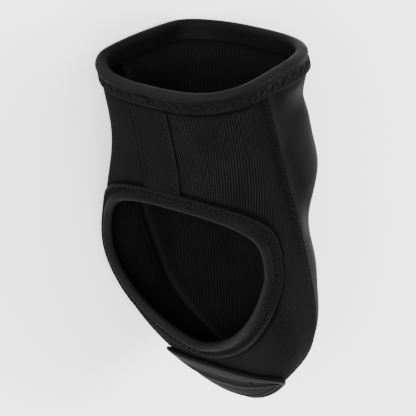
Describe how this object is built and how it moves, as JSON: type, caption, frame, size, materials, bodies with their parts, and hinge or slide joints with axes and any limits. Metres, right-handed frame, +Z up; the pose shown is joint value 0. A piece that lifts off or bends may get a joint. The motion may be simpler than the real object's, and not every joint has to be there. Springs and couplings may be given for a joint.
{
  "type": "cycling toe cover",
  "caption": "Right toe cover for a road cycling shoe: closed neoprene toe sock, open at the collar, with a cleat opening under the ball and a rubber toe guard.",
  "frame": {"origin": "middle of the box's underside, on the ground on which the cover lies", "axes": "+X towards the toe, +Z up from the ground towards the outer side of the foot, +Y towards the instep; the sole faces -Y"},
  "size_m": [0.188, 0.0966, 0.1046],
  "materials": {
    "neoprene": "smooth stretch jersey over foam, faint sheen",
    "rib_knit": "matt ribbed knit",
    "tape": "folded stretch tape with zigzag stitching",
    "toe_rubber": "satin moulded rubber with a rim and ridges",
    "thread": "twisted polyester thread"
  },
  "bodies": {
    "root": {"upper": "neoprene", "sole_panel": "rib_knit", "collar_binding": "tape", "opening_binding": "tape", "toe_guard": "toe_rubber"}
  },
  "joints": []
}
